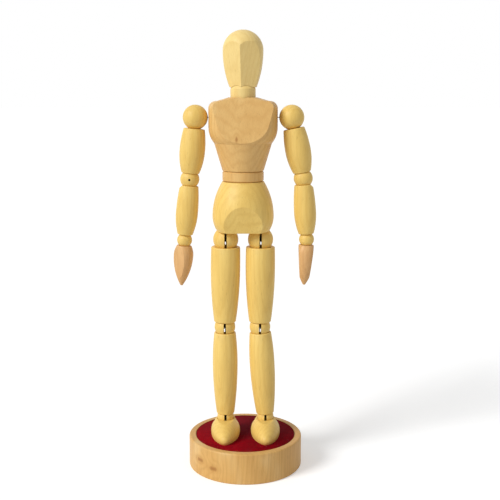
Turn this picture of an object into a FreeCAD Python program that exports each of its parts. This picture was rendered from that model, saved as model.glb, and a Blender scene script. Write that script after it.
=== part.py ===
import FreeCAD, Part
import math
import os
import re
import Sketcher
from FreeCAD import Placement, Rotation, Vector

# Jointed artist's mannequin of turned wood on a round base, in millimetres.
# The origin is the centre of the base's underside, +Z is up, the figure faces -Y and
# its left side is at +X. Every ball joint is a wooden ball with a pin across it, and
# tension springs hooked on the pins pull the wooden parts onto the balls.

# Driving dimensions.
SIZES = {
    # base, felt and what holds the feet down
    "base_dia": 80.0, "base_tall": 22.0, "base_round": 1.2,
    "felt_dia": 71.0, "felt_thick": 1.0, "felt_gap": 0.2,
    "screw_dia": 3.0, "screw_long": 21.0, "screw_head_dia": 7.0, "screw_head_tall": 2.4,
    "screw_gap": 0.2, "screw_sink": 3.4, "screw_sink_dia": 9.0, "screw_front": 9.0,
    # general fits
    "seat_gap": 0.25, "pin_dia": 1.5, "pin_gap": 0.03, "pin_inset": 0.8,
    "wire": 0.6, "coil_rad": 1.75, "coil_pitch": 2.1, "bore_gap": 0.4, "eye_rad": 1.4,
    "eye_side": 0.37, "slot_wide": 1.6, "slot_depth": 2.6, "web_slope": 0.577,
    "edge_round": 0.7,
    # heights of the leg joints, and where they stand across the body
    "ankle_rise": 12.6, "shin_span": 66.0, "thigh_span": 62.2, "hip_half": 12.0,
    "body_side": -1.5, "right_ankle_side": -14.1, "right_knee_side": -14.3,
    "left_ankle_side": 14.3, "left_knee_side": 10.3,
    # foot
    "foot_wide": 20.6, "foot_heel_at": -1.0, "foot_toe": 25.0, "foot_mid_rise": 2.9,
    "foot_nose_rad": 3.6, "foot_nose_back": 2.2, "foot_top_drop": 1.3,
    "foot_hook_deep": 3.6, "foot_hook_gap": 0.3, "foot_collar_low_dia": 18.4, "foot_collar_dia": 13.8,
    "foot_collar_tall": 5.0,
    # ball joints of the leg
    "ankle_ball_dia": 11.8, "knee_ball_dia": 14.6, "hip_ball_dia": 17.5,
    # shin and thigh, each with the drop from a ball's centre to the wood's end
    "shin_low_dia": 12.6, "shin_low_end": 2.8, "shin_belly_dia": 17.6, "shin_belly_drop": 22.0,
    "shin_top_dia": 15.2, "shin_top_end": 3.9,
    "thigh_low_dia": 15.4, "thigh_low_end": 3.8, "thigh_belly_dia": 20.5,
    "thigh_belly_drop": 14.0, "thigh_top_dia": 20.1, "thigh_top_end": 5.2,
    # pelvis
    "pelvis_tall": 34.2, "pelvis_hip_gap": 6.0, "pelvis_low_dia": 36.8, "pelvis_belly_dia": 42.1,
    "pelvis_belly_rise": 10.2, "pelvis_top_dia": 29.2, "pelvis_pin_rise": 18.0,
    "pelvis_cut_lean": 19.0, "pelvis_cut_front": 13.8,
    # waist, a short drum with domed ends
    "waist_gap": 0.95, "waist_band": 5.4, "waist_dia": 28.2, "waist_dome_rad": 20.0,
    # chest
    "chest_tall": 49.2, "chest_low_dia": 28.6, "chest_ridge_rise": 18.5,
    "chest_ridge_dia": 39.2, "chest_belly_dia": 46.9, "chest_belly_rise": 29.2,
    "chest_side_top": 41.7, "chest_shoulder_dia": 35.6, "chest_shoulder_drop": 2.4,
    "chest_flat_lean": 20.0, "chest_flat_front": 20.6,
    "shoulder_rise": 35.9, "torso_pin_rise": 15.0, "neck_pin_rise": 27.5,
    "chest_pin_long": 16.0, "shoulder_pin_side": 6.0,
    # neck and head
    "neck_dia": 17.0, "neck_band": 8.9, "neck_dome_rad": 9.6, "neck_into_chest": 3.15,
    "neck_head_gap": 0.9, "head_tall": 37.8, "head_low_dia": 18.7, "head_dia": 27.2,
    "head_pin_rise": 12.0, "head_turn": 9.0, "face_turn": 27.0, "face_lean": 10.0,
    "face_front": 11.4,
    # shoulder, elbow and wrist
    "right_shoulder_side": 33.8, "left_shoulder_side": 31.4, "shoulder_ball_dia": 17.0,
    "elbow_ball_dia": 13.1, "wrist_ball_dia": 10.4,
    "arm_top_dia": 14.6, "arm_top_end": 7.6, "arm_belly_dia": 17.4, "arm_belly_drop": 15.0,
    "arm_low_dia": 12.6, "arm_low_end": 4.2, "arm_span": 42.0,
    "fore_top_dia": 12.8, "fore_top_end": 4.4, "fore_belly_dia": 15.2, "fore_belly_drop": 19.0,
    "fore_low_dia": 10.8, "fore_low_end": 3.9, "fore_span": 42.3,
    "right_arm_tilt": 5.6, "left_arm_tilt": 11.2, "right_fore_tilt": 5.5, "left_fore_tilt": 3.7,
    "right_hand_tilt": 4.5, "left_hand_tilt": -2.5,
    # hand
    "hand_top_dia": 10.6, "hand_top_end": 3.8, "hand_dia": 13.6, "hand_belly_drop": 10.5,
    "hand_long": 32.0, "hand_thick": 11.2, "hand_thin": 5.6, "hand_pin_drop": 9.0,
    "hand_tip_dia": 1.6, "hand_bore_gap": 0.6, "right_hand_turn": 50.0, "left_hand_turn": 0.0,
}

# Places and radii that follow from the driving dimensions.
PLACES = {
    "ankle_up": "base_tall + ankle_rise",
    "knee_up": "ankle_up + shin_span",
    "hip_up": "knee_up + thigh_span",
    "pelvis_low": "hip_up + pelvis_hip_gap",
    "pelvis_top": "pelvis_low + pelvis_tall",
    "waist_low": "pelvis_top + waist_gap",
    "waist_top": "waist_low + waist_band",
    "chest_low": "waist_top + waist_gap",
    "chest_top": "chest_low + chest_tall",
    "shoulder_up": "chest_low + shoulder_rise",
    "neck_low": "chest_top - neck_into_chest",
    "neck_top": "neck_low + neck_band",
    "head_low": "neck_top + neck_head_gap",
    "bore": "coil_rad + wire / 2 + bore_gap",
    "hand_bore": "bore + hand_bore_gap",
    "straight_rad": "0.46 * wire",
    "eye_room": "eye_rad + wire",
    "pin_hole": "pin_dia / 2 + pin_gap",
    "waist_sag": "sqrt(waist_dome_rad^2 - waist_dia^2 / 4)",
    "neck_sag": "sqrt(neck_dome_rad^2 - neck_dia^2 / 4)",
    "waist_seat": "waist_dome_rad + seat_gap",
    "neck_seat": "neck_dome_rad + seat_gap",
    "right_hip_side": "body_side - hip_half",
    "left_hip_side": "body_side + hip_half",
}

doc = FreeCAD.newDocument("mannequin")


def add_sheet(name, cells):
    """A spreadsheet with a name beside each value, the name being the value's alias."""
    sheet = doc.addObject("Spreadsheet::Sheet", name)
    for row, (alias, text) in enumerate(cells.items(), start=1):
        sheet.set("A%d" % row, alias)
        sheet.set("B%d" % row, str(text))
        sheet.setAlias("B%d" % row, alias)
    doc.recompute()
    return sheet


def full(expression):
    """The expression with each size's name joined to the sheet that holds it."""
    def joined(found):
        word = found.group(0)
        if word in SIZES:
            return "Sizes." + word
        return "Places." + word if word in PLACES else word
    return re.sub(r"[a-z][a-z_]+[a-z]", joined, str(expression))


sizes = add_sheet("Sizes", SIZES)
places = add_sheet("Places", {alias: "=" + full(text) for alias, text in PLACES.items()})


def value(expression):
    """The number that an expression gives now."""
    return float(places.evalExpression(full(expression)))


def bind(thing, **expressions):
    """Ties properties of an object to expressions; a double underscore stands for a dot."""
    for name, expression in expressions.items():
        thing.setExpression(name.replace("__", "."), full(expression))


def new_body(label):
    """An empty body whose label names its file."""
    body = doc.addObject("PartDesign::Body", label)
    body.Label = label
    return body


def new_sketch(body, name, role, **offsets):
    """A sketch on one of the body's own origin planes, moved and turned by the offsets."""
    sketch = body.newObject("Sketcher::SketchObject", name)
    plane = next(f for f in body.Origin.OriginFeatures if f.Role == role)
    sketch.AttachmentSupport = [(plane, "")]
    sketch.MapMode = "FlatFace"
    bind(sketch, **{"AttachmentOffset__" + key: text for key, text in offsets.items()})
    return sketch


def hold(sketch, kind, *where):
    """Adds a dimension whose value is an expression, given last."""
    geometry, expression = where[:-1], where[-1]
    index = sketch.addConstraint(Sketcher.Constraint(kind, *geometry, value(expression)))
    sketch.setExpression("Constraints[%d]" % index, full(expression))


def arc_between(start, end, radius, side):
    """The short arc from start to end; side is 1 for a left turn and -1 for a right one."""
    chord = end - start
    depth = math.sqrt(max(radius ** 2 - (chord.Length / 2) ** 2, 0.0))
    left = Vector(-chord.y, chord.x, 0).normalize()
    centre = start + chord * 0.5 + left * (depth * side)
    first, last = (start, end) if side > 0 else (end, start)
    angles = [math.atan2(p.y - centre.y, p.x - centre.x) for p in (first, last)]
    circle = Part.Circle(centre, Vector(0, 0, 1), radius)
    return Part.ArcOfCircle(circle, *angles)


def draw_outline(sketch, steps):
    """A closed outline. Each step is (x, y), reached by a line from the step before it, or
    (x, y, radius, side), reached by an arc."""
    corners = [Vector(value(step[0]), value(step[1]), 0) for step in steps]
    ends = []
    for index, step in enumerate(steps):
        start, end = corners[index - 1], corners[index]
        if len(step) == 2:
            ends.append((sketch.addGeometry(Part.LineSegment(start, end)), 1, 2))
            continue
        curve = sketch.addGeometry(arc_between(start, end, value(step[2]), step[3]))
        ends.append((curve, 1, 2) if step[3] > 0 else (curve, 2, 1))
    for index, step in enumerate(steps):
        curve, _, end = ends[index]
        following, start, _ = ends[(index + 1) % len(ends)]
        sketch.addConstraint(Sketcher.Constraint("Coincident", curve, end, following, start))
        hold(sketch, "DistanceX", curve, end, step[0])
        hold(sketch, "DistanceY", curve, end, step[1])
        if len(step) > 2:
            hold(sketch, "Radius", curve, step[2])


def draw_circle(sketch, across, up, radius):
    """A circle with its centre and radius held."""
    centre = Vector(value(across), value(up), 0)
    curve = sketch.addGeometry(Part.Circle(centre, Vector(0, 0, 1), value(radius)))
    hold(sketch, "DistanceX", curve, 3, across)
    hold(sketch, "DistanceY", curve, 3, up)
    hold(sketch, "Radius", curve, radius)


def revolve(body, name, steps, role="XZ_Plane", axis="V_Axis"):
    """Turns an outline about the sketch's upright axis, or about its level one."""
    sketch = new_sketch(body, name + "Outline", role)
    draw_outline(sketch, steps)
    turned = body.newObject("PartDesign::Revolution", name)
    turned.Profile = sketch
    turned.ReferenceAxis = (sketch, [axis])
    turned.Angle = 360
    doc.recompute()
    return turned


def pocket(body, name, sketch, length=None, back=False):
    """Cuts a sketch through, both ways, or to one side by a length, and checks that it cuts."""
    doc.recompute()
    before = body.Shape.Volume
    cut = body.newObject("PartDesign::Pocket", name)
    cut.Profile = sketch
    if length is None:
        cut.Type = "ThroughAll"
        cut.Midplane = True
    else:
        bind(cut, Length=length)
        cut.Reversed = back
    doc.recompute()
    if not body.Shape.Volume < before:
        raise ValueError("%s cuts nothing from %s" % (name, body.Label))


def pad(body, name, sketch, length, both=False, back=False):
    """Raises a sketch by a length, to one side or to both."""
    raised = body.newObject("PartDesign::Pad", name)
    raised.Profile = sketch
    bind(raised, Length=length)
    raised.Midplane = both
    raised.Reversed = back
    doc.recompute()


def place(thing, across, up, turn_axis=None, turn=None, ahead="0"):
    """Puts an object at its place, turned about one axis."""
    if turn_axis is not None:
        thing.Placement = Placement(Vector(), Rotation(turn_axis, 1.0))
        bind(thing, Placement__Rotation__Angle=turn)
    bind(thing, Placement__Base__x=across, Placement__Base__y=ahead, Placement__Base__z=up)


X_AXIS, Y_AXIS, Z_AXIS = Vector(1, 0, 0), Vector(0, 1, 0), Vector(0, 0, 1)


def place_spring(spring, across, up, tilt="0", spin=0):
    """Puts a spring at its place, spun about its own length and then tilted about Y."""
    spring.Placement = Placement(
        Vector(), Rotation(Y_AXIS, value(tilt)).multiply(Rotation(Z_AXIS, spin)))
    bind(spring, Placement__Base__x=across, Placement__Base__z=up)


def belly_arc(low_dia, belly_dia, rise):
    """The radius of the arc that leaves the widest place upright and reaches low_dia."""
    step = "((%s) - (%s)) / 2" % (belly_dia, low_dia)
    return "((%s)^2 + (%s)^2) / (2 * (%s))" % (step, rise, step)


def turned_limb(label, span, low, high, belly_dia, belly_drop):
    """A turned limb from the lower ball's centre up to the upper one's, with a seat at each
    end and a bore through. low and high are (ball diameter, end diameter, end distance)."""
    body = new_body(label)
    low_seat = "(%s / 2 + seat_gap)" % low[0]
    high_seat = "(%s / 2 + seat_gap)" % high[0]
    top = "(%s - %s)" % (span, high[2])
    belly_up = "(%s - %s)" % (top, belly_drop)
    low_edge = "(%s + edge_round)" % low[2]
    high_edge = "(%s - edge_round)" % top
    revolve(body, "Turning", [
        ("bore", "sqrt(%s^2 - bore^2)" % low_seat),
        ("sqrt(%s^2 - %s^2)" % (low_seat, low[2]), low[2], low_seat, -1),
        ("%s / 2 - edge_round" % low[1], low[2]),
        ("%s / 2" % low[1], low_edge, "edge_round", 1),
        ("%s / 2" % belly_dia, belly_up,
         belly_arc(low[1], belly_dia, "%s - %s" % (belly_up, low_edge)), 1),
        ("%s / 2" % high[1], high_edge,
         belly_arc(high[1], belly_dia, "%s - %s" % (high_edge, belly_up)), 1),
        ("%s / 2 - edge_round" % high[1], top, "edge_round", 1),
        ("sqrt(%s^2 - %s^2)" % (high_seat, high[2]), top),
        ("bore", "%s - sqrt(%s^2 - bore^2)" % (span, high_seat), high_seat, -1),
    ])
    return body


def fold_relief(body, name, centre_up, far, side, downwards, role="YZ_Plane"):
    """Bevels a limb's end on the side it folds to, along a line through the joint's centre."""
    sketch = new_sketch(body, name + "Outline", role)
    rise = "-%s" % far if downwards else far
    draw_outline(sketch, [
        ("0", centre_up),
        ("%d * %s" % (side, far), centre_up),
        ("%d * %s" % (side, far), "%s + %s" % (centre_up, rise)),
    ])
    pocket(body, name, sketch)


def joint_ball(label, dia):
    """A ball with a sawn slot in its YZ plane, left whole over a web at +Y, and a pin hole
    along X that stops short of the far side."""
    body = new_body(label)
    ball = body.newObject("PartDesign::AdditiveSphere", "Ball")
    bind(ball, Radius="%s / 2" % dia)
    far = "(%s / 2 + 1)" % dia
    flank = "((%s - slot_depth) * web_slope)" % far
    slot = new_sketch(body, "SlotOutline", "YZ_Plane")
    draw_outline(slot, [
        ("slot_depth", "0"), (far, flank), (far, far), ("-%s" % far, far),
        ("-%s" % far, "-%s" % far), (far, "-%s" % far), (far, "-%s" % flank),
    ])
    doc.recompute()
    before = body.Shape.Volume
    cut = body.newObject("PartDesign::Pocket", "Slot")
    cut.Profile = slot
    cut.Midplane = True
    bind(cut, Length="slot_wide")
    doc.recompute()
    if not body.Shape.Volume < before:
        raise ValueError("the slot cuts nothing from " + label)
    hole = new_sketch(body, "PinHoleOutline", "YZ_Plane", Base__z="pin_inset - %s / 2" % dia)
    draw_circle(hole, "0", "0", "pin_hole")
    pocket(body, "PinHole", hole, dia, back=True)
    return body


def cross_pin(label, length):
    """A pin along X, centred on the origin."""
    body = new_body(label)
    sketch = new_sketch(body, "Round", "YZ_Plane")
    draw_circle(sketch, "0", "0", "pin_dia / 2")
    pad(body, "Pin", sketch, length, both=True)
    return body


def eye(body, name, centre_up, side):
    """A closed wire eye about the X direction at a height, moved to one side of the axis."""
    sketch = new_sketch(body, name + "Section", "XZ_Plane", Base__y=centre_up)
    draw_circle(sketch, side, "eye_rad", "wire / 2")
    ring = body.newObject("PartDesign::Revolution", name)
    ring.Profile = sketch
    ring.ReferenceAxis = (sketch, ["H_Axis"])
    ring.Angle = 360
    doc.recompute()


def wire_run(body, name, role, across, up, offset, length, back=False):
    """A straight piece of the spring's wire."""
    sketch = new_sketch(body, name + "Section", role, Base__z=offset)
    draw_circle(sketch, across, up, "straight_rad")
    pad(body, name, sketch, length, back=back)


def tension_spring(label, span, low_lead, high_lead):
    """A coil along Z with an eye about X at each end: the lower eye's centre is the origin and
    the upper one's is at the span. The leads are from an eye's centre to the coil."""
    body = new_body(label)
    low_side, high_side = "-eye_side", "eye_side"
    low_lead, high_lead = "(%s)" % low_lead, "(%s)" % high_lead
    coil_tall = "(%s - %s - %s)" % (span, low_lead, high_lead)
    start = new_sketch(body, "WireSection", "XZ_Plane", Base__y=low_lead)
    draw_circle(start, "coil_rad", "0", "wire / 2")
    coil = body.newObject("PartDesign::AdditiveHelix", "Coil")
    coil.Profile = start
    coil.ReferenceAxis = (start, ["V_Axis"])
    coil.Mode = "height-turns-angle"
    turns = max(2, round(value(coil_tall) / value("coil_pitch")))
    coil.Turns = turns
    bind(coil, Height=coil_tall)
    doc.recompute()
    for name, centre, side, lead, back in (
            ("Low", "0", low_side, low_lead, False),
            ("High", span, high_side, high_lead, True)):
        eye(body, name + "Eye", centre, side)
        edge = "eye_rad" if not back else "%s - eye_rad" % span
        wire_run(body, name + "Shank", "XY_Plane", side, "0", edge,
                 "%s - eye_rad" % lead, back=back)
        level = lead if not back else "%s - %s" % (span, lead)
        wire_run(body, name + "Bar", "YZ_Plane", "0", level,
                 "%s - wire / 4" % side, "coil_rad - (%s) + wire / 4" % side)
    return body


def sphere_seat(body, name, dia, across, up):
    """A spherical seat for a ball, larger than the ball by the seat gap."""
    before = body.Shape.Volume
    seat = body.newObject("PartDesign::SubtractiveSphere", name)
    bind(seat, Radius="%s / 2 + seat_gap" % dia, Placement__Base__x=across,
         Placement__Base__z=up)
    doc.recompute()
    if not body.Shape.Volume < before:
        raise ValueError("%s cuts nothing from %s" % (name, body.Label))


def drilled(body, name, role, across, up, start, length, radius="pin_hole", back=False):
    """A round hole from a plane at the given start, along or against the plane's normal."""
    sketch = new_sketch(body, name + "Outline", role, Base__z=start)
    draw_circle(sketch, across, up, radius)
    pocket(body, name, sketch, length, back=back)


def planed(body, name, corners, role="YZ_Plane", turn=None):
    """A flat cut through the body, its section given by corners; turn swings the section's
    plane about the body's upright axis."""
    sketch = new_sketch(body, name + "Outline", role)
    if turn is not None:
        sketch.AttachmentOffset = Placement(Vector(), Rotation(Y_AXIS, value(turn)))
    draw_outline(sketch, corners)
    pocket(body, name, sketch)


def joined_group(label, members):
    """Separate like solids kept together under one name."""
    group = doc.addObject("Part::Compound", label)
    group.Label = label
    group.Links = members
    doc.recompute()
    return group


NODES = []


def keep(thing):
    """Adds an object to the pieces that are written out."""
    NODES.append(thing)
    return thing


# Base, felt, screws, feet and their hooks.

def base_disc():
    body = keep(new_body("base_disc"))
    revolve(body, "Turning", [
        ("0", "0"),
        ("base_dia / 2 - base_round", "0"),
        ("base_dia / 2", "base_round", "base_round", 1),
        ("base_dia / 2", "base_tall - base_round"),
        ("base_dia / 2 - base_round", "base_tall", "base_round", 1),
        ("felt_dia / 2", "base_tall"),
        ("felt_dia / 2", "base_tall - felt_thick"),
        ("0", "base_tall - felt_thick"),
    ])
    for side in ("right", "left"):
        across = side + "_ankle_side"
        drilled(body, side + "Sink", "XY_Plane", across, "-screw_front", "0", "screw_sink",
                "screw_sink_dia / 2", back=True)
        drilled(body, side + "Hole", "XY_Plane", across, "-screw_front", "0", "base_tall",
                "screw_dia / 2 + screw_gap", back=True)


def base_inlay():
    body = keep(new_body("base_inlay"))
    sketch = new_sketch(body, "Round", "XY_Plane")
    draw_circle(sketch, "0", "0", "felt_dia / 2 - felt_gap")
    pad(body, "Felt", sketch, "felt_thick")
    for side in ("right", "left"):
        drilled(body, side + "Hole", "XY_Plane", side + "_ankle_side", "-screw_front", "0",
                "felt_thick", "screw_dia / 2 + screw_gap", back=True)
    place(body, "0", "base_tall - felt_thick")


def base_screw(side):
    body = new_body(side + "_screw")
    revolve(body, "Turning", [
        ("0", "-screw_head_tall"),
        ("screw_head_dia / 2", "-screw_head_tall"),
        ("screw_head_dia / 2", "0"),
        ("screw_dia / 2", "0"),
        ("screw_dia / 2", "screw_long - screw_dia / 2"),
        ("0", "screw_long"),
    ])
    place(body, side + "_ankle_side", "screw_sink", ahead="-screw_front")
    return body


# The left leg's springs and hook have their eyes the other way round, which keeps them
# clear of the slots' walls where the shin leans inwards.
SPIN = {"right": 0, "left": 180}
HOOK_AT = {"right": "eye_side", "left": "-eye_side"}


def foot(side):
    """An egg lying along Y, cut flat underneath, with a collar around the ankle's seat."""
    body = keep(new_body(side + "_foot"))
    nose = "(foot_nose_back^2 + foot_nose_rad^2) / (2 * foot_nose_back)"
    sketch = new_sketch(body, "EggOutline", "YZ_Plane", Base__y="foot_mid_rise")
    draw_outline(sketch, [
        ("foot_heel_at + foot_wide / 2", "0"),
        ("foot_heel_at", "foot_wide / 2", "foot_wide / 2", 1),
        ("foot_nose_back - foot_toe", "foot_nose_rad",
         belly_arc("2 * foot_nose_rad", "foot_wide", "foot_heel_at + foot_toe - foot_nose_back"), 1),
        ("-foot_toe", "0", nose, 1),
    ])
    egg = body.newObject("PartDesign::Revolution", "Egg")
    egg.Profile = sketch
    egg.ReferenceAxis = (sketch, ["H_Axis"])
    egg.Angle = 360
    top = "(ankle_rise - foot_top_drop)"
    revolve(body, "Collar", [
        ("0", "%s - foot_collar_tall" % top),
        ("foot_collar_low_dia / 2", "%s - foot_collar_tall" % top),
        ("foot_collar_dia / 2", top),
        ("0", top),
    ])
    planed(body, "Sole", [("-foot_toe", "0"), ("-foot_toe", "-foot_wide"),
                          ("foot_toe", "-foot_wide"), ("foot_toe", "0")])
    planed(body, "Top", [("-foot_toe", top), ("foot_toe", top), ("foot_toe", "foot_toe"),
                         ("-foot_toe", "foot_toe")])
    sphere_seat(body, "AnkleSeat", "ankle_ball_dia", "0", "ankle_rise")
    drilled(body, "HookHole", "XY_Plane", HOOK_AT[side], "0", "ankle_rise - eye_rad",
            "ankle_ball_dia / 2 + foot_hook_deep - eye_rad", "straight_rad + pin_gap")
    drilled(body, "ScrewHole", "XY_Plane", "0", "-screw_front", "0",
            "screw_sink + screw_long - base_tall + pin_dia", "screw_dia / 2 + pin_gap", back=True)
    place(body, side + "_ankle_side", "base_tall")


def foot_hook(side):
    body = new_body(side + "_hook")
    eye(body, "Eye", "0", HOOK_AT[side])
    wire_run(body, "Shank", "XY_Plane", HOOK_AT[side], "0", "-eye_rad",
             "ankle_ball_dia / 2 + foot_hook_deep - eye_rad - foot_hook_gap", back=True)
    place(body, side + "_ankle_side", "ankle_up")
    return body


# Legs, from the ankle up.

def leg(side):
    """The leg's wooden parts with their balls, pins and springs."""
    stations = (("ankle", side + "_ankle_side", "ankle_up"), ("knee", side + "_knee_side", "knee_up"),
                ("hip", side + "_hip_side", "hip_up"))
    for joint, across, up in stations:
        ball = keep(joint_ball("%s_%s_ball" % (side, joint), joint + "_ball_dia"))
        place(ball, across, up)
        pin = keep(cross_pin("%s_%s_pin" % (side, joint), joint + "_ball_dia - 2 * pin_inset"))
        place(pin, across, up)
    limbs = (("shin", stations[0], stations[1], "shin_span"),
             ("thigh", stations[1], stations[2], "thigh_span"))
    for limb, low, high, rise in limbs:
        shift = "(%s - %s)" % (high[1], low[1])
        span = "sqrt(%s^2 + %s^2)" % (rise, shift)
        body = keep(turned_limb(
            "%s_%s" % (side, limb), span,
            (low[0] + "_ball_dia", limb + "_low_dia", limb + "_low_end"),
            (high[0] + "_ball_dia", limb + "_top_dia", limb + "_top_end"),
            limb + "_belly_dia", limb + "_belly_drop"))
        if limb == "shin":
            fold_relief(body, "KneeRelief", span, "shin_top_dia", 1, True)
        else:
            fold_relief(body, "KneeRelief", "0", "thigh_low_dia", 1, False)
        tilt = "atan(%s / %s)" % (shift, rise)
        place(body, low[1], low[2], Y_AXIS, tilt)
        spring = keep(tension_spring("%s_%s_spring" % (side, limb), span,
                                     low[0] + "_ball_dia / 2 + 2 * wire",
                                     high[0] + "_ball_dia / 2 + 2 * wire"))
        place_spring(spring, low[1], low[2], tilt, SPIN[side])


# Trunk.

def pelvis():
    body = keep(new_body("pelvis"))
    seat_up = "(pelvis_tall + waist_gap + waist_sag)"
    revolve(body, "Turning", [
        ("0", "0"),
        ("pelvis_low_dia / 2 - edge_round", "0"),
        ("pelvis_low_dia / 2", "edge_round", "edge_round", 1),
        ("pelvis_belly_dia / 2", "pelvis_belly_rise",
         belly_arc("pelvis_low_dia", "pelvis_belly_dia", "pelvis_belly_rise - edge_round"), 1),
        ("pelvis_top_dia / 2", "pelvis_tall - edge_round",
         belly_arc("pelvis_top_dia", "pelvis_belly_dia",
                   "pelvis_tall - edge_round - pelvis_belly_rise"), 1),
        ("pelvis_top_dia / 2 - edge_round", "pelvis_tall", "edge_round", 1),
        ("sqrt(waist_seat^2 - (%s - pelvis_tall)^2)" % seat_up, "pelvis_tall"),
        ("bore", "%s - sqrt(waist_seat^2 - bore^2)" % seat_up, "waist_seat", -1),
        ("bore", "pelvis_pin_rise - eye_room"),
        ("0", "pelvis_pin_rise - eye_room"),
    ])
    run = "(pelvis_belly_dia - pelvis_cut_front)"
    planed(body, "FrontFlat", [
        ("-pelvis_cut_front", "0"),
        ("-pelvis_cut_front - %s" % run, "%s / tan(pelvis_cut_lean * 1deg)" % run),
        ("-pelvis_cut_front - %s" % run, "0"),
    ])
    for side, sign in (("Right", "-"), ("Left", "")):
        sphere_seat(body, side + "HipSeat", "hip_ball_dia", sign + "hip_half", "-pelvis_hip_gap")
        drilled(body, side + "HipBore", "XY_Plane", sign + "hip_half", "0", "0",
                "pelvis_pin_rise + eye_room", "bore", back=True)
    drilled(body, "PinHole", "YZ_Plane", "0", "pelvis_pin_rise", "-pelvis_belly_dia",
            "2 * pelvis_belly_dia", back=True)
    place(body, "body_side", "pelvis_low")


def pelvis_pin():
    pin = keep(cross_pin("pelvis_pin", "pelvis_belly_dia - 2 * edge_round - 3 * pin_dia / 2"))
    place(pin, "body_side", "pelvis_low + pelvis_pin_rise")


def hip_springs():
    members = []
    for side in ("right", "left"):
        spring = tension_spring(side + "_hip_spring", "(pelvis_hip_gap + pelvis_pin_rise)",
                                "hip_ball_dia / 2 + 2 * wire", "2 * eye_rad")
        place_spring(spring, side + "_hip_side", "hip_up", spin=SPIN[side])
        members.append(spring)
    keep(joined_group("hip_springs", members))


def torso_spring():
    spring = keep(tension_spring(
        "torso_spring", "(chest_low + torso_pin_rise - pelvis_low - pelvis_pin_rise)",
        "2 * eye_rad", "2 * eye_rad"))
    place(spring, "body_side", "pelvis_low + pelvis_pin_rise")


def drum(label, dia, band, dome, sag):
    """A short drum with domed ends and a bore through, its band starting at height 0."""
    body = keep(new_body(label))
    revolve(body, "Turning", [
        ("bore", "%s - sqrt(%s^2 - bore^2)" % (sag, dome)),
        ("%s / 2" % dia, "0", dome, 1),
        ("%s / 2" % dia, band),
        ("bore", "%s - %s + sqrt(%s^2 - bore^2)" % (band, sag, dome), dome, 1),
    ])
    return body


def chest():
    body = keep(new_body("chest"))
    low_seat = "(waist_gap + waist_sag)"
    high_seat = "(chest_tall - neck_into_chest + neck_sag)"
    torso_end = "torso_pin_rise + eye_room"
    neck_end = "neck_pin_rise - eye_room"
    revolve(body, "Turning", [
        ("sqrt(waist_seat^2 - %s^2)" % low_seat, "0", "waist_seat", -1),
        ("chest_low_dia / 2 - edge_round", "0"),
        ("chest_low_dia / 2", "edge_round", "edge_round", 1),
        ("chest_ridge_dia / 2", "chest_ridge_rise"),
        ("chest_belly_dia / 2", "chest_belly_rise",
         belly_arc("chest_ridge_dia", "chest_belly_dia", "chest_belly_rise - chest_ridge_rise"), 1),
        ("chest_belly_dia / 2", "chest_side_top"),
        ("chest_shoulder_dia / 2", "chest_tall - chest_shoulder_drop",
         belly_arc("chest_shoulder_dia", "chest_belly_dia",
                   "chest_tall - chest_shoulder_drop - chest_side_top"), 1),
        ("sqrt(neck_seat^2 - (%s - chest_tall)^2)" % high_seat, "chest_tall"),
        ("bore", "%s - sqrt(neck_seat^2 - bore^2)" % high_seat, "neck_seat", -1),
        ("bore", neck_end),
        ("0", neck_end),
        ("0", torso_end),
        ("bore", torso_end),
        ("bore", "sqrt(waist_seat^2 - bore^2) - %s" % low_seat),
    ])
    lean = "tan(chest_flat_lean * 1deg)"
    planed(body, "FrontFlat", [
        ("-chest_flat_front", "chest_ridge_rise"),
        ("%s * (chest_tall + 1 - chest_ridge_rise) - chest_flat_front" % lean, "chest_tall + 1"),
        ("-chest_belly_dia", "chest_tall + 1"),
        ("-chest_belly_dia", "chest_ridge_rise"),
    ])
    bore_start = "shoulder_pin_side - eye_room"
    half_pin = "chest_pin_long / 2"
    for side, sign, back in (("Right", "-", False), ("Left", "", True)):
        drilled(body, side + "ShoulderBore", "YZ_Plane", "0", "shoulder_rise",
                "%s(%s)" % (sign, bore_start), "chest_belly_dia", "bore", back=back)
        drilled(body, side + "AnchorHole", "XZ_Plane", sign + "shoulder_pin_side",
                "shoulder_rise", half_pin, "chest_belly_dia")
    for name, rise in (("TorsoPinHole", "torso_pin_rise"), ("NeckPinHole", "neck_pin_rise")):
        drilled(body, name, "YZ_Plane", "0", rise, "-" + half_pin, "chest_belly_dia", back=True)
    place(body, "body_side", "chest_low")


def chest_pins():
    members = []
    for name, rise in (("torso_anchor", "torso_pin_rise"), ("neck_anchor", "neck_pin_rise")):
        pin = cross_pin(name, "chest_pin_long")
        place(pin, "body_side", "chest_low + " + rise)
        members.append(pin)
    for name, sign in (("right_anchor", "-"), ("left_anchor", "+")):
        pin = cross_pin(name, "chest_pin_long")
        place(pin, "body_side %s shoulder_pin_side" % sign, "shoulder_up", Z_AXIS, "90")
        members.append(pin)
    keep(joined_group("chest_pins", members))


def shoulder_springs():
    """Each runs from its ball's pin inwards to its anchor in the chest."""
    members = []
    for side, sign, inner, swing in (("right", "-", "body_side", "90"),
                                     ("left", "", "-body_side", "-90")):
        span = "(%s_shoulder_side + %s - shoulder_pin_side)" % (side, inner)
        spring = tension_spring(side + "_shoulder_spring", span,
                                "shoulder_ball_dia / 2 + 4 * wire", "2 * eye_rad")
        place_spring(spring, "%s%s_shoulder_side" % (sign, side), "shoulder_up", swing, 90)
        members.append(spring)
    keep(joined_group("shoulder_springs", members))


def neck_spring():
    spring = keep(tension_spring(
        "neck_spring", "(head_low + head_pin_rise - chest_low - neck_pin_rise)",
        "2 * eye_rad", "2 * eye_rad"))
    place(spring, "body_side", "chest_low + neck_pin_rise")


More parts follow.
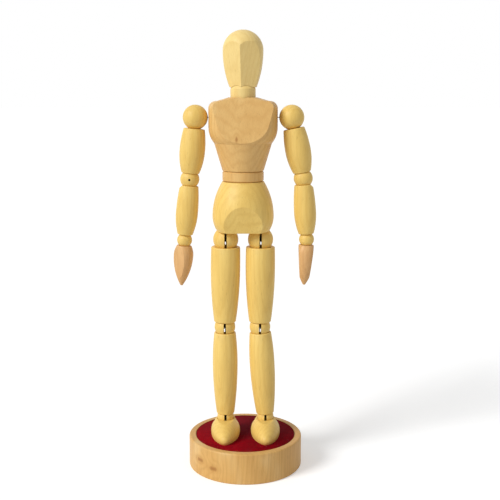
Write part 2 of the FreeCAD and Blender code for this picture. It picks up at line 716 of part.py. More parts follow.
def face_flat(body, name, sign):
    """One of the two flats that meet in the ridge of the face."""
    turn = math.radians(sign * value("face_turn"))
    lean = value("face_lean")
    sketch = new_sketch(body, name + "Outline", "XZ_Plane")
    swing = Rotation(Y_AXIS, math.degrees(turn)).multiply(Rotation(X_AXIS, lean))
    sketch.AttachmentOffset = Placement(Vector(), swing)
    bind(sketch, AttachmentOffset__Base__x="%d * face_front * sin(face_turn * 1deg)" % sign,
         AttachmentOffset__Base__y="head_tall - head_dia / 2",
         AttachmentOffset__Base__z="face_front * cos(face_turn * 1deg)")
    draw_outline(sketch, [("-head_tall", "-head_tall"), ("head_tall", "-head_tall"),
                          ("head_tall", "head_tall"), ("-head_tall", "head_tall")])
    pocket(body, name, sketch, "head_dia", back=True)


def head():
    body = keep(new_body("head"))
    seat = "(neck_head_gap + neck_sag)"
    pin_end = "head_pin_rise + eye_room"
    belly = "head_tall - head_dia / 2"
    revolve(body, "Turning", [
        ("sqrt(neck_seat^2 - %s^2)" % seat, "0", "neck_seat", -1),
        ("head_low_dia / 2 - edge_round", "0"),
        ("head_low_dia / 2", "edge_round", "edge_round", 1),
        ("head_dia / 2", belly, belly_arc("head_low_dia", "head_dia", belly + " - edge_round"), 1),
        ("0", "head_tall", "head_dia / 2", 1),
        ("0", pin_end),
        ("bore", pin_end),
        ("bore", "sqrt(neck_seat^2 - bore^2) - %s" % seat),
    ])
    drilled(body, "PinHole", "YZ_Plane", "0", "head_pin_rise", "-chest_pin_long / 2",
            "head_dia", back=True)
    face_flat(body, "RightFace", -1)
    face_flat(body, "LeftFace", 1)
    place(body, "body_side", "head_low", Z_AXIS, "-head_turn")


def head_pin():
    pin = keep(cross_pin("head_pin", "chest_pin_long"))
    place(pin, "body_side", "head_low + head_pin_rise", Z_AXIS, "-head_turn")


# Arms, from the shoulder down.

def hand(side, outward):
    """A spindle planed on both faces, with its origin at the wrist ball's centre."""
    body = keep(new_body(side + "_hand"))
    seat = "(wrist_ball_dia / 2 + seat_gap)"
    top_edge = "(hand_top_end + edge_round)"
    revolve(body, "Turning", [
        ("0", "-hand_long"),
        ("hand_tip_dia / 2", "-hand_long"),
        ("hand_dia / 2", "-hand_belly_drop",
         belly_arc("hand_tip_dia", "hand_dia", "hand_long - hand_belly_drop"), 1),
        ("hand_top_dia / 2", "-%s" % top_edge,
         belly_arc("hand_top_dia", "hand_dia", "hand_belly_drop - %s" % top_edge), 1),
        ("hand_top_dia / 2 - edge_round", "-hand_top_end", "edge_round", 1),
        ("sqrt(%s^2 - hand_top_end^2)" % seat, "-hand_top_end"),
        ("hand_bore", "-sqrt(%s^2 - hand_bore^2)" % seat, seat, -1),
        ("hand_bore", "-hand_pin_drop - eye_room"),
        ("0", "-hand_pin_drop - eye_room"),
    ])
    for name, sign in (("Palm", "-"), ("HandBack", "")):
        planed(body, name, [
            ("%shand_thick / 2" % sign, "0"),
            ("%shand_thin / 2" % sign, "-hand_long - 1"),
            ("%shand_dia" % sign, "-hand_long - 1"),
            ("%shand_dia" % sign, "0"),
        ], "XZ_Plane", side + "_hand_turn")
    cock = "(%s_fore_tilt - %s_hand_tilt)" % (side, side)
    drilled(body, "PinHole", "XZ_Plane", "%d * hand_pin_drop * sin(%s * 1deg)" % (outward, cock),
            "-hand_pin_drop * cos(%s * 1deg)" % cock, "hand_top_dia / 2 - pin_inset", "hand_dia")
    return body


def wrist_ball(label):
    """A ball bored through for the spring's shank, its mouths widened."""
    body = new_body(label)
    ball = body.newObject("PartDesign::AdditiveSphere", "Ball")
    bind(ball, Radius="wrist_ball_dia / 2")
    drilled(body, "Bore", "XY_Plane", "0", "0", "wrist_ball_dia / 2", "wrist_ball_dia",
            "eye_side + wire / 2 + bore_gap")
    return body


def arm(side):
    """The arm's wooden parts with their balls, pins and springs, down to the hand."""
    outward = -1 if side == "right" else 1
    sign = "-" if side == "right" else ""
    tilts = {part: "%d * %s_%s_tilt" % (-outward, side, part) for part in ("arm", "fore", "hand")}
    reach = {part: "sin(%s_%s_tilt * 1deg)" % (side, part) for part in tilts}
    drop = {part: "cos(%s_%s_tilt * 1deg)" % (side, part) for part in tilts}
    elbow_side = "(%s%s_shoulder_side + %d * arm_span * %s)" % (sign, side, outward, reach["arm"])
    elbow_up = "(shoulder_up - arm_span * %s)" % drop["arm"]
    wrist_side = "(%s + %d * fore_span * %s)" % (elbow_side, outward, reach["fore"])
    wrist_up = "(%s - fore_span * %s)" % (elbow_up, drop["fore"])
    ball = keep(joint_ball(side + "_shoulder_ball", "shoulder_ball_dia"))
    ball.Placement = Placement(Vector(), Rotation(Vector(1, 1, 1), 120))
    bind(ball, Placement__Base__x="%s%s_shoulder_side" % (sign, side),
         Placement__Base__z="shoulder_up")
    pin = keep(cross_pin(side + "_shoulder_pin", "shoulder_ball_dia - 2 * pin_inset"))
    place(pin, "%s%s_shoulder_side" % (sign, side), "shoulder_up", Z_AXIS, "90")
    elbow = keep(joint_ball(side + "_elbow_ball", "elbow_ball_dia"))
    place(elbow, elbow_side, elbow_up, Z_AXIS, "%d * 90" % outward)
    elbow_pin = keep(cross_pin(side + "_elbow_pin", "elbow_ball_dia - 2 * pin_inset"))
    place(elbow_pin, elbow_side, elbow_up, Z_AXIS, "90")
    upper = keep(turned_limb(side + "_upper_arm", "arm_span",
                             ("elbow_ball_dia", "arm_low_dia", "arm_low_end"),
                             ("shoulder_ball_dia", "arm_top_dia", "arm_top_end"),
                             "arm_belly_dia", "arm_belly_drop"))
    place(upper, elbow_side, elbow_up, Y_AXIS, tilts["arm"])
    fore = keep(turned_limb(side + "_forearm", "fore_span",
                            ("wrist_ball_dia", "fore_low_dia", "fore_low_end"),
                            ("elbow_ball_dia", "fore_top_dia", "fore_top_end"),
                            "fore_belly_dia", "fore_belly_drop"))
    fold_relief(fore, "ElbowRelief", "fore_span", "fore_top_dia", outward, True, "XZ_Plane")
    place(fore, wrist_side, wrist_up, Y_AXIS, tilts["fore"])
    wrist = keep(wrist_ball(side + "_wrist_ball"))
    place(wrist, wrist_side, wrist_up, Y_AXIS, tilts["fore"])
    palm = hand(side, outward)
    place(palm, wrist_side, wrist_up, Y_AXIS, tilts["hand"])
    pin_side = "(%s + %d * hand_pin_drop * %s)" % (wrist_side, outward, reach["fore"])
    pin_up = "(%s - hand_pin_drop * %s)" % (wrist_up, drop["fore"])
    hand_pin = keep(cross_pin(side + "_hand_pin", "hand_top_dia - 2 * pin_inset"))
    place(hand_pin, pin_side, pin_up, Z_AXIS, "90")
    springs = (
        ("_upper_arm_spring", "arm_span", "elbow_ball_dia / 2 + 2 * wire",
         "shoulder_ball_dia / 2 + 2 * wire", elbow_side, elbow_up, "arm"),
        ("_forearm_spring", "(fore_span + hand_pin_drop)",
         "hand_pin_drop + wrist_ball_dia / 2 + 2 * wire", "elbow_ball_dia / 2 + 2 * wire",
         pin_side, pin_up, "fore"),
    )
    for name, span, low_lead, high_lead, across, up, part in springs:
        spring = keep(tension_spring(side + name, span, low_lead, high_lead))
        place_spring(spring, across, up, tilts[part], 90)


base_disc()
base_inlay()
keep(joined_group("base_screws", [base_screw("right"), base_screw("left")]))
foot("right")
foot("left")
keep(joined_group("foot_hooks", [foot_hook("right"), foot_hook("left")]))
leg("right")
leg("left")
pelvis()
pelvis_pin()
hip_springs()
torso_spring()
place(drum("waist", "waist_dia", "waist_band", "waist_dome_rad", "waist_sag"),
      "body_side", "waist_low")
chest()
chest_pins()
shoulder_springs()
neck_spring()
place(drum("neck", "neck_dia", "neck_band", "neck_dome_rad", "neck_sag"),
      "body_side", "neck_low")
head()
head_pin()
arm("right")
arm("left")

doc.recompute()
faults = [thing.Label for thing in doc.Objects
          if "Invalid" in thing.State or "Error" in thing.State]
faults += [node.Label for node in NODES if node.Shape.isNull() or not node.Shape.isValid()]
if faults:
    raise ValueError("these failed: " + ", ".join(faults))
os.makedirs("parts", exist_ok=True)
for node in NODES:
    node.Shape.exportStep("parts/%s.step" % node.Label)
print("%d nodes, %d solids" % (len(NODES), sum(len(node.Shape.Solids) for node in NODES)))
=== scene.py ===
import math

import bmesh
import bpy
from bpy.props import FloatProperty, FloatVectorProperty, IntProperty, PointerProperty
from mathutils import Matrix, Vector


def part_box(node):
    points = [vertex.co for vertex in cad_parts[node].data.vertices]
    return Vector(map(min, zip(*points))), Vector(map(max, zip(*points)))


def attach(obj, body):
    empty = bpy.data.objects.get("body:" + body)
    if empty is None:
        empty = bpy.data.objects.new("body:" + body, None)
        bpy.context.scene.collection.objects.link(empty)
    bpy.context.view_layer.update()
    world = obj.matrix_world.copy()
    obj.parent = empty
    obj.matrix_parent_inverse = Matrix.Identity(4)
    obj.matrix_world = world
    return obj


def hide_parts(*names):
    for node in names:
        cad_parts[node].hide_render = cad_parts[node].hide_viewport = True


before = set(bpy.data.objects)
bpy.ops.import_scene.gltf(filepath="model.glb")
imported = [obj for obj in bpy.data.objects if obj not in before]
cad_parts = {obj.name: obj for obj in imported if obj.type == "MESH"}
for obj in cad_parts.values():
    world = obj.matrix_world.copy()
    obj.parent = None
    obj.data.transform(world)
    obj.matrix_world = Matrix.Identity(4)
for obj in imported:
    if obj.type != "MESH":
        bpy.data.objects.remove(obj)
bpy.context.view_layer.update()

# Wood, felt, steel and light for a jointed artist's figure on a round wooden base.

bl_info = {
    "name": "Artist mannequin finish",
    "version": (1, 0, 0),
    "blender": (4, 5, 0),
    "location": "View3D > Sidebar > Mannequin",
    "description": "Turned wood, red felt and spring steel for a jointed wooden figure",
    "category": "Object",
}

MM = 0.001
SIDES = ("right", "left")

# The pith of a blank, from the piece's middle, in mm across and towards the back.
LEG_PITHS = ((24, 40), (-30, 36))
ARM_PITHS = ((30, 34), (-22, 42))
BASE_PITH = (90, 30)
PELVIS_PITH = (10, 60)
CHEST_PITH = (8, 70)
HEAD_PITH = (34, 30)

# Growth lines: how much each metre up the trunk widens them, and how far they wander.
RING_TAPER = 0.035
RING_SWAY = 7.5 * MM
KNOT_PULL = 3.2 * MM

# Felt: the rim that the disc leaves free, in thicknesses, and the faces round it.
FELT_RIM = 0.3
FELT_SIDES = 180

# The way that the key light travels.
KEY_WAY = Vector((0.78, 0.56, -0.66))
FLOOR_HALF = 12
FLOOR_GLOW = 0.34
SENSOR = 36
NEAREST = 0.01


def colour(red, green, blue):
    """A colour given as it looks, from 0 to 255, made linear."""
    def linear(part):
        part /= 255
        return part / 12.92 if part <= 0.04045 else ((part + 0.055) / 1.055) ** 2.4
    return tuple(linear(part) for part in (red, green, blue))


def tint(name, text, red, green, blue):
    return FloatVectorProperty(name=name, description=text, default=colour(red, green, blue),
                               subtype="COLOR", size=3, min=0, max=1)


def amount(name, text, default, low=0.0, high=1.0):
    return FloatProperty(name=name, description=text, default=default, min=low, max=high,
                         subtype="FACTOR")


def length(name, text, default):
    return FloatProperty(name=name, description=text, default=default, min=0,
                         unit="LENGTH", subtype="DISTANCE", precision=5)


class WoodLook(bpy.types.PropertyGroup):
    """The turned wood's colours and grain."""
    pale: tint("Pale wood", "Colour of the palest limbs between the growth lines", 243, 208, 118)
    deep: tint("Growth line", "Colour of the growth lines in the pale wood", 222, 180, 88)
    tan: tint("Tan wood", "Colour of the chest and waist between the growth lines", 230, 188, 118)
    tan_deep: tint("Tan growth line", "Colour of the growth lines in the tan wood", 208, 158, 88)
    pink: tint("Hand wood", "Colour of the hands between the growth lines", 228, 182, 122)
    pink_deep: tint("Hand growth line", "Colour of the growth lines in the hands", 204, 150, 90)
    head: tint("Head wood", "Colour of the head and neck between the growth lines", 248, 220, 146)
    head_deep: tint("Head growth line", "Colour of the growth lines in the head", 226, 188, 108)
    base: tint("Base wood", "Colour of the base between the growth lines", 222, 176, 104)
    base_deep: tint("Base growth line", "Colour of the growth lines in the base", 190, 138, 68)
    knot: tint("Knot", "Colour of the knots' centres", 146, 88, 36)
    ring_gap: length("Ring spacing", "Distance between two growth lines", 2.6 * MM)
    polish: amount("Roughness", "How dull the sanded and waxed surface is", 0.46)


class FeltLook(bpy.types.PropertyGroup):
    """The round felt inlay."""
    red: tint("Red", "Colour of the felt", 172, 4, 20)
    shade: tint("Deep red", "Colour between the felt's fibres", 88, 1, 14)
    fibre: length("Fibre size", "Width of the felt's tufts", 0.5 * MM)
    rings: IntProperty(name="Rings", description="Rings of faces across the felt", default=56,
                       min=8, max=120)


class SteelLook(bpy.types.PropertyGroup):
    """The springs, pins and screws."""
    wire: tint("Wire", "Colour of the spring wire", 46, 40, 32)
    pin: tint("Pins", "Colour of the pins", 54, 46, 36)
    screw: tint("Screws", "Colour of the zinc plated screws", 190, 190, 186)
    dull: amount("Roughness", "How dull the drawn wire is", 0.5)


class StageLook(bpy.types.PropertyGroup):
    """The floor, the light and the camera."""
    floor: tint("Floor", "Colour of the floor", 243, 243, 243)
    sky: amount("Soft light", "Strength of the even light from all round", 0.40, 0, 4)
    key: FloatProperty(name="Key light", description="Strength of the light from the upper left",
                       default=2.25, min=0, max=20)
    key_spread: FloatProperty(name="Key spread", description="Angle that the key light fills",
                              default=math.radians(24), min=0, max=math.pi, subtype="ANGLE",
                              unit="ROTATION")
    eye_back: length("Camera distance", "How far in front of the figure the camera stands", 0.620)
    eye_up: length("Camera height", "How far above the floor the camera stands", 0.2651)
    eye_pitch: FloatProperty(name="Camera pitch", description="Angle that the camera looks down",
                             default=math.radians(10.05), min=-math.pi / 2, max=math.pi / 2,
                             subtype="ANGLE", unit="ROTATION")
    lens: FloatProperty(name="Lens", description="Focal length on a 36 mm sensor", default=65.45,
                        min=10, max=300, subtype="DISTANCE_CAMERA")
    aside: FloatProperty(name="Shift", description="Sideways shift of the picture", default=0.0094,
                         min=-0.1, max=0.1)


LOOKS = {"mannequin_wood": WoodLook, "mannequin_felt": FeltLook, "mannequin_steel": SteelLook,
         "mannequin_stage": StageLook}


# Shader building.

class Tree:
    """A material's node tree with its shader, and short ways to add nodes to it."""

    def __init__(self, name):
        self.material = bpy.data.materials.new(name)
        self.material.use_nodes = True
        self.tree = self.material.node_tree
        self.shader = self.tree.nodes["Principled BSDF"]
        self.coords = self.tree.nodes.new("ShaderNodeTexCoord").outputs["Object"]

    def add(self, kind, out=0, **settings):
        """Adds a node. A setting named in capitals, or i and a number, is a socket of it, and any
        other is an option."""
        node = self.tree.nodes.new("ShaderNode" + kind)
        for key, value in settings.items():
            if key[0].isupper() or key[0] == "i" and key[1:].isdigit():
                socket = node.inputs[int(key[1:])] if key[0] == "i" else node.inputs[key]
                if isinstance(value, bpy.types.NodeSocket):
                    self.tree.links.new(value, socket)
                else:
                    socket.default_value = value
            else:
                setattr(node, key, value)
        return node.outputs[out]

    def math(self, operation, first, second=0.0, clamp=False):
        return self.add("Math", operation=operation, use_clamp=clamp, i0=first, i1=second)

    def placed(self, centre, turn=(0, 0, 0), scale=(1, 1, 1), vector=None):
        """The coordinates measured from a centre, turned and stretched."""
        return self.add("Mapping", vector_type="TEXTURE", Vector=vector or self.coords,
                        Location=tuple(centre), Rotation=tuple(turn), Scale=tuple(scale))

    def noise(self, vector, scale, detail=2.0, rough=0.5, bend=0.0):
        return self.add("TexNoise", Vector=vector, Scale=scale, Detail=detail, Roughness=rough,
                        Distortion=bend)

    def step(self, value, low, high, start=0.0, end=1.0):
        """The value taken from low..high to start..end, smoothly and held there."""
        return self.add("MapRange", interpolation_type="SMOOTHSTEP", Value=value,
                        **{"From Min": low, "From Max": high, "To Min": start, "To Max": end})

    def mix(self, factor, first, second, blend="MIX"):
        node = self.tree.nodes.new("ShaderNodeMix")
        node.data_type = "RGBA"
        node.blend_type = blend
        for index, value in ((0, factor), (6, first), (7, second)):
            if isinstance(value, bpy.types.NodeSocket):
                self.tree.links.new(value, node.inputs[index])
            elif index == 0:
                node.inputs[0].default_value = value
            else:
                node.inputs[index].default_value = (*tuple(value)[:3], 1)
        return node.outputs[2]

    def set(self, socket, value):
        if isinstance(value, bpy.types.NodeSocket):
            self.tree.links.new(value, self.shader.inputs[socket])
        else:
            self.shader.inputs[socket].default_value = value

    def bump(self, height, strength, distance):
        self.set("Normal", self.add("Bump", Height=height, Strength=strength, Distance=distance))


def turned_wood(name, centre, pale, deep, lean=0.0, pith=(26, 38), knots=(), wave=1.0,
                contrast=1.0):
    """Wood turned on a lathe with its grain along Z: growth lines round a pith that lies outside
    the piece, fine fibres, short dark flecks, uneven tone, and dark tight knots."""
    look = bpy.context.scene.mannequin_wood
    tree = Tree(name)
    local = tree.placed(centre, (0, lean, 0))
    drift = tree.noise(tree.placed((0, 0, 0), scale=(1, 1, 5), vector=local), 70, 3)
    pith_at = (pith[0] * MM, pith[1] * MM, 0)
    off_pith = tree.placed(pith_at, vector=local)
    parts = tree.tree.nodes.new("ShaderNodeSeparateXYZ")
    tree.tree.links.new(off_pith, parts.inputs[0])
    radius = tree.math("SQRT", tree.math("ADD", tree.math("POWER", parts.outputs[0], 2.0),
                                         tree.math("POWER", parts.outputs[1], 2.0)))
    cone = tree.math("MULTIPLY", parts.outputs[2], RING_TAPER * wave)
    sway = tree.math("MULTIPLY", tree.math("SUBTRACT", drift, 0.5), RING_SWAY * wave)
    depth = tree.math("ADD", tree.math("ADD", radius, cone), sway)
    for at, wide, tall in knots:
        away = tree.add("VectorMath", out="Value", operation="LENGTH",
                        i0=tree.placed(at, scale=(wide, wide * 3, tall * 1.4)))
        pull = tree.step(away, 0, 3.4, KNOT_PULL, 0)
        depth = tree.math("ADD", depth, pull)
    turn = tree.math("MULTIPLY", depth, 2 * math.pi / look.ring_gap)
    ring = tree.math("ADD", tree.math("MULTIPLY", tree.math("SINE", turn), 0.5), 0.5)
    line = tree.math("POWER", ring, 2.6)
    fibre_place = tree.placed((0, 0, 0), scale=(1, 1, 26), vector=local)
    fibres = tree.noise(fibre_place, 2100, 3, 0.6)
    strands = tree.noise(tree.placed((0, 0, 0), scale=(1, 1, 34), vector=local), 520, 3, 0.55)
    flecks = tree.step(tree.noise(tree.placed((0, 0, 0), scale=(1, 1, 9), vector=local), 1500, 1),
                       0.66, 0.76)
    clouds = tree.noise(tree.placed((0, 0, 0), scale=(1, 1, 2.4), vector=local), 46, 2, 0.5, 0.3)
    base = tree.mix(tree.math("MULTIPLY", line, 0.34 * contrast), pale, deep)
    base = tree.mix(tree.step(strands, 0.42, 0.74, 0, 0.30 * contrast), base, deep)
    base = tree.mix(tree.step(clouds, 0.34, 0.72, 0.0, 0.42 * contrast), base, deep)
    base = tree.mix(tree.step(clouds, 0.26, 0.44, 0.20, 0.0), base, colour(255, 240, 190))
    base = tree.mix(tree.math("MULTIPLY", flecks, 0.34 * contrast), base,
                    tuple(part * 0.62 for part in deep))
    base = tree.mix(tree.step(fibres, 0.35, 0.75, 0.0, 0.16), base,
                    tuple(part * 0.7 for part in deep))
    for at, wide, tall in knots:
        away = tree.add("VectorMath", out="Value", operation="LENGTH",
                        i0=tree.placed(at, scale=(wide, wide * 3, tall)))
        fray = tree.math("MULTIPLY", tree.math("SUBTRACT", strands, 0.5), 1.6)
        ragged = tree.math("ADD", away, fray)
        base = tree.mix(tree.step(ragged, 0.35, 1.15, 0.85, 0.0), base, look.knot)
        base = tree.mix(tree.step(ragged, 0.9, 2.6, 0.35, 0.0), base, deep)
    tree.set("Base Color", base)
    tree.set("Roughness", tree.step(fibres, 0.2, 0.8, look.polish - 0.06, look.polish + 0.12))
    tree.set("Specular IOR Level", 0.4)
    tree.set("IOR", 1.5)
    height = tree.math("SUBTRACT", tree.math("MULTIPLY", fibres, 0.6),
                       tree.math("MULTIPLY", flecks, 0.5))
    tree.bump(tree.math("ADD", height, tree.math("MULTIPLY", line, -0.25)), 0.35, 0.06 * MM)
    return tree.material


def drawn_steel(name, shade, dull):
    """Bare steel with fine draw marks and a faint brown film."""
    tree = Tree(name)
    marks = tree.noise(tree.placed((0, 0, 0), scale=(1, 1, 14)), 5200, 2)
    film = tree.noise(tree.coords, 420, 3, 0.6)
    tree.set("Base Color", tree.mix(tree.step(film, 0.45, 0.8, 0, 0.45), shade,
                                    colour(66, 48, 32)))
    tree.set("Metallic", 0.6)
    tree.set("Roughness", tree.step(marks, 0.2, 0.8, dull - 0.08, dull + 0.14))
    tree.bump(marks, 0.3, 0.02 * MM)
    return tree.material


def red_felt(name):
    """Pressed wool: matted tufts with pits between them, a soft pile that lightens edge on, and painted
    shade that darkens the middle round the feet.
    """
    look = bpy.context.scene.mannequin_felt
    tree = Tree(name)
    tufts = tree.noise(tree.coords, 0.7 / look.fibre, 4, 0.65, 0.8)
    fine = 2.4 / look.fibre
    hairs = tree.noise(tree.placed((0, 0, 0), (0, 0, 0.6), (6, 1, 1)), fine, 2, 0.6, 1.5)
    cross = tree.noise(tree.placed((0, 0, 0), (0, 0, 2.0), (6, 1, 1)), fine, 2, 0.6, 1.5)
    wool = tree.math("MAXIMUM", hairs, cross)
    worn = tree.noise(tree.coords, 60, 3)
    # Painted shade: the felt's middle round the feet is darkened, standing in for the shadow of the
    # legs.
    painted_shade_under_legs = tree.add("VectorMath", out="Value", operation="LENGTH",
                       i0=tree.placed((4 * MM, 6 * MM, 22 * MM), scale=(26 * MM, 22 * MM, 1)))
    base = tree.mix(tree.step(tufts, 0.3, 0.7), look.shade, look.red)
    base = tree.mix(tree.step(wool, 0.55, 0.8, 0, 0.5), base, colour(178, 16, 28))
    base = tree.mix(tree.step(worn, 0.4, 0.7, 0, 0.3), base, look.shade)
    # Painted shade under the legs: deep maroon mixed in towards the middle of the felt.
    base = tree.mix(tree.step(painted_shade_under_legs, 0.3, 1.5, 0.75, 0), base, colour(70, 0, 20))
    tree.set("Base Color", base)
    tree.set("Roughness", 0.95)
    tree.set("Specular IOR Level", 0.08)
    tree.set("Sheen Weight", 0.12)
    tree.set("Sheen Roughness", 0.5)
    tree.set("Sheen Tint", (*colour(230, 60, 70), 1))
    tree.bump(tree.math("ADD", tufts, wool), 0.7, 0.25 * MM)
    return tree.material


# Pieces.

def middle(node):
    low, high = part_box(node)
    return (low + high) / 2


def paint(node, material):
    """Gives a CAD node one material."""
    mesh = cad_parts[node].data
    mesh.materials.clear()
    mesh.materials.append(material)


def finish_mesh(name, bm, material, body, replaced):
    """Makes a piece of a bmesh and hangs it on its body."""
    mesh = bpy.data.meshes.new(name)
    bm.to_mesh(mesh)
    bm.free()
    mesh.materials.append(material)
    piece = bpy.data.objects.new(name, mesh)
    bpy.context.scene.collection.objects.link(piece)
    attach(piece, body)
    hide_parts(*replaced)
    return piece


class MANNEQUIN_OT_base(bpy.types.Operator):
    """Finish the round wooden base and its screws"""
    bl_idname = "mannequin.base"
    bl_label = "Base"

    def execute(self, context):
        look = context.scene.mannequin_wood
        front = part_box("base_disc")[0].y
        knots = (((-22 * MM, front + 7 * MM, 9 * MM), 3.2 * MM, 2.0 * MM),
                 ((-31.5 * MM, front + 15 * MM, 12 * MM), 2.6 * MM, 1.6 * MM))
        paint("base_disc", turned_wood("base_wood_grain", middle("base_disc"), look.base,
                                       look.base_deep, pith=BASE_PITH, knots=knots, wave=1.3,
                                       contrast=0.85))
        steel = context.scene.mannequin_steel
        paint("base_screws", drawn_steel("zinc_plate", steel.screw, steel.dull))
        return {"FINISHED"}


class MANNEQUIN_OT_felt(bpy.types.Operator):
    """Lay the red felt inlay in the base"""
    bl_idname = "mannequin.felt"
    bl_label = "Felt"

    def execute(self, context):
        look = context.scene.mannequin_felt
        low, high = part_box("base_inlay")
        radius = (high.x - low.x) / 2
        thick = high.z - low.z
        bm = bmesh.new()
        bmesh.ops.create_circle(bm, cap_ends=True, segments=FELT_SIDES, radius=radius - FELT_RIM * thick)
        face = bm.faces[:]
        for _ in range(look.rings):
            bmesh.ops.inset_region(bm, faces=face, thickness=radius / (look.rings + 2),
                                   use_even_offset=False)
            face = [max(bm.faces, key=lambda f: len(f.verts))]
        bmesh.ops.poke(bm, faces=face)
        sheet = bmesh.ops.extrude_face_region(bm, geom=bm.faces[:])
        under = [part for part in sheet["geom"] if isinstance(part, bmesh.types.BMVert)]
        bmesh.ops.translate(bm, verts=under, vec=(0, 0, -thick))
        bmesh.ops.recalc_face_normals(bm, faces=bm.faces)
        centre = (low + high) / 2
        bmesh.ops.translate(bm, verts=bm.verts, vec=(centre.x, centre.y, high.z))
        for part in bm.faces:
            part.smooth = True
        piece = finish_mesh("felt_inlay", bm, red_felt("pressed_red_wool"), "root",
                            ["base_inlay"])
        return {"FINISHED"}


class MANNEQUIN_OT_legs(bpy.types.Operator):
    """Finish the feet, shins, thighs and the balls between them"""
    bl_idname = "mannequin.legs"
    bl_label = "Legs"

    def execute(self, context):
        look = context.scene.mannequin_wood
        for side, pith in zip(SIDES, LEG_PITHS):
            for part in ("foot", "ankle_ball", "shin", "knee_ball", "thigh", "hip_ball"):
                node = "%s_%s" % (side, part)
                paint(node, turned_wood(node + "_wood", middle(node), look.pale, look.deep,
                                        pith=pith))
        return {"FINISHED"}


class MANNEQUIN_OT_trunk(bpy.types.Operator):
    """Finish the pelvis, waist, chest and neck"""
    bl_idname = "mannequin.trunk"
    bl_label = "Trunk"

    def execute(self, context):
        look = context.scene.mannequin_wood
        low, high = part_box("chest")
        knot = ((low.x + high.x) / 2 - 4.2 * MM, low.y + 2 * MM, low.z + 22 * MM)
        paint("pelvis", turned_wood("pelvis_wood", middle("pelvis"), look.pale, look.deep,
                                    pith=PELVIS_PITH))
        paint("waist", turned_wood("waist_wood", middle("waist"), look.tan, look.tan_deep))
        paint("chest", turned_wood("chest_wood", middle("chest"), look.tan, look.tan_deep,
                                   pith=CHEST_PITH, knots=((knot, 1.2 * MM, 2.4 * MM),)))
        paint("neck", turned_wood("neck_wood", middle("neck"), look.head, look.head_deep))
        return {"FINISHED"}


class MANNEQUIN_OT_head(bpy.types.Operator):
    """Finish the head"""
    bl_idname = "mannequin.head"
    bl_label = "Head"

    def execute(self, context):
        look = context.scene.mannequin_wood
        paint("head", turned_wood("head_wood", middle("head"), look.head, look.head_deep,
                                  pith=HEAD_PITH, contrast=0.7))
        return {"FINISHED"}


class MANNEQUIN_OT_arms(bpy.types.Operator):
    """Finish the arms and hands with their balls"""
    bl_idname = "mannequin.arms"
    bl_label = "Arms"

    def execute(self, context):
        look = context.scene.mannequin_wood
        for side, pith in zip(SIDES, ARM_PITHS):
            for part in ("shoulder_ball", "upper_arm", "elbow_ball", "forearm", "wrist_ball"):
                node = "%s_%s" % (side, part)
                paint(node, turned_wood(node + "_wood", middle(node), look.pale, look.deep,
                                        pith=pith))
            node = side + "_hand"
            paint(node, turned_wood(node + "_wood", middle(node), look.pink, look.pink_deep,
                                    pith=pith))
        return {"FINISHED"}


class MANNEQUIN_OT_steel(bpy.types.Operator):
    """Finish the springs and pins inside the joints"""
    bl_idname = "mannequin.steel"
    bl_label = "Springs and pins"

    def execute(self, context):
        look = context.scene.mannequin_steel
        wire = drawn_steel("spring_wire_steel", look.wire, look.dull)
        pin = drawn_steel("pin_steel_bare", look.pin, look.dull + 0.04)
        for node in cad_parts:
            if "spring" in node or "hook" in node:
                paint(node, wire)
            elif "pin" in node:
                paint(node, pin)
        return {"FINISHED"}


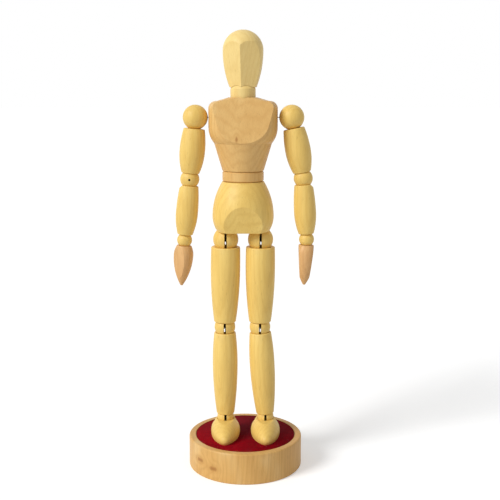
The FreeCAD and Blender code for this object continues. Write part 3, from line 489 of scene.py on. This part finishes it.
class MANNEQUIN_OT_stage(bpy.types.Operator):
    """Set the floor, the light and the camera"""
    bl_idname = "mannequin.stage"
    bl_label = "Stage"

    def execute(self, context):
        look = context.scene.mannequin_stage
        scene = context.scene
        scene.view_settings.view_transform = "Standard"
        bm = bmesh.new()
        bmesh.ops.create_grid(bm, x_segments=1, y_segments=1, size=FLOOR_HALF)
        mesh = bpy.data.meshes.new("floor")
        bm.to_mesh(mesh)
        bm.free()
        floor = bpy.data.objects.new("floor", mesh)
        scene.collection.objects.link(floor)
        mesh.materials.append(self.floor_material(look))
        self.sky(scene, look)
        lamp = bpy.data.lights.new("key_lamp", "SUN")
        lamp.energy = look.key
        lamp.angle = look.key_spread
        key = bpy.data.objects.new("key_lamp", lamp)
        key.rotation_euler = KEY_WAY.to_track_quat("-Z", "Y").to_euler()
        scene.collection.objects.link(key)
        lens = bpy.data.cameras.new("eye")
        lens.sensor_width = SENSOR
        lens.lens = look.lens
        lens.shift_x = look.aside
        lens.clip_start = NEAREST
        eye = bpy.data.objects.new("eye", lens)
        eye.location = (0, -look.eye_back, look.eye_up)
        eye.rotation_euler = (math.pi / 2 - look.eye_pitch, 0, 0)
        scene.collection.objects.link(eye)
        scene.camera = eye
        return {"FINISHED"}

    @staticmethod
    def seen(tree):
        """1 for what the camera sees straight, in a gloss or through glass."""
        path = tree.nodes.new("ShaderNodeLightPath")
        total = path.outputs["Is Camera Ray"]
        for name in ("Is Glossy Ray", "Is Transmission Ray"):
            both = tree.nodes.new("ShaderNodeMath")
            both.operation = "MAXIMUM"
            tree.links.new(total, both.inputs[0])
            tree.links.new(path.outputs[name], both.inputs[1])
            total = both.outputs[0]
        return total

    def floor_material(self, look):
        tree = Tree("pale_floor")
        grain = tree.noise(tree.coords, 240, 2)
        tree.set("Base Color", tree.mix(tree.step(grain, 0.3, 0.7, 0, 0.06), look.floor,
                                        colour(232, 232, 232)))
        tree.set("Roughness", 0.9)
        tree.set("Specular IOR Level", 0.0)
        glow = tree.math("MULTIPLY", self.seen(tree.tree), FLOOR_GLOW)
        tree.set("Emission Color", (1, 1, 1, 1))
        tree.set("Emission Strength", glow)
        return tree.material

    def sky(self, scene, look):
        world = bpy.data.worlds.new("soft_sky")
        world.use_nodes = True
        scene.world = world
        tree = world.node_tree
        backdrop = tree.nodes["Background"]
        backdrop.inputs["Color"].default_value = (1, 1, 1, 1)
        strength = tree.nodes.new("ShaderNodeMapRange")
        strength.inputs["To Min"].default_value = look.sky
        strength.inputs["To Max"].default_value = 1.0
        tree.links.new(self.seen(tree), strength.inputs["Value"])
        tree.links.new(strength.outputs[0], backdrop.inputs["Strength"])


OPERATORS = (MANNEQUIN_OT_base, MANNEQUIN_OT_felt, MANNEQUIN_OT_legs, MANNEQUIN_OT_trunk,
             MANNEQUIN_OT_head, MANNEQUIN_OT_arms, MANNEQUIN_OT_steel, MANNEQUIN_OT_stage)


class MANNEQUIN_PT_panel(bpy.types.Panel):
    """The figure's pieces and looks"""
    bl_idname = "MANNEQUIN_PT_panel"
    bl_label = "Artist mannequin"
    bl_space_type = "VIEW_3D"
    bl_region_type = "UI"
    bl_category = "Mannequin"

    def draw(self, context):
        for name, group in LOOKS.items():
            box = self.layout.box()
            box.label(text=group.__doc__)
            for field in group.__annotations__:
                box.prop(getattr(context.scene, name), field)
        for operator in OPERATORS:
            self.layout.operator(operator.bl_idname)


CLASSES = (*LOOKS.values(), *OPERATORS, MANNEQUIN_PT_panel)


def register():
    for item in CLASSES:
        bpy.utils.register_class(item)
    for name, group in LOOKS.items():
        setattr(bpy.types.Scene, name, PointerProperty(type=group))


def unregister():
    for name in LOOKS:
        delattr(bpy.types.Scene, name)
    for item in reversed(CLASSES):
        bpy.utils.unregister_class(item)


def main():
    register()
    for operator in OPERATORS:
        family, name = operator.bl_idname.split(".")
        getattr(getattr(bpy.ops, family), name)()


if __name__ == "__main__":
    main()
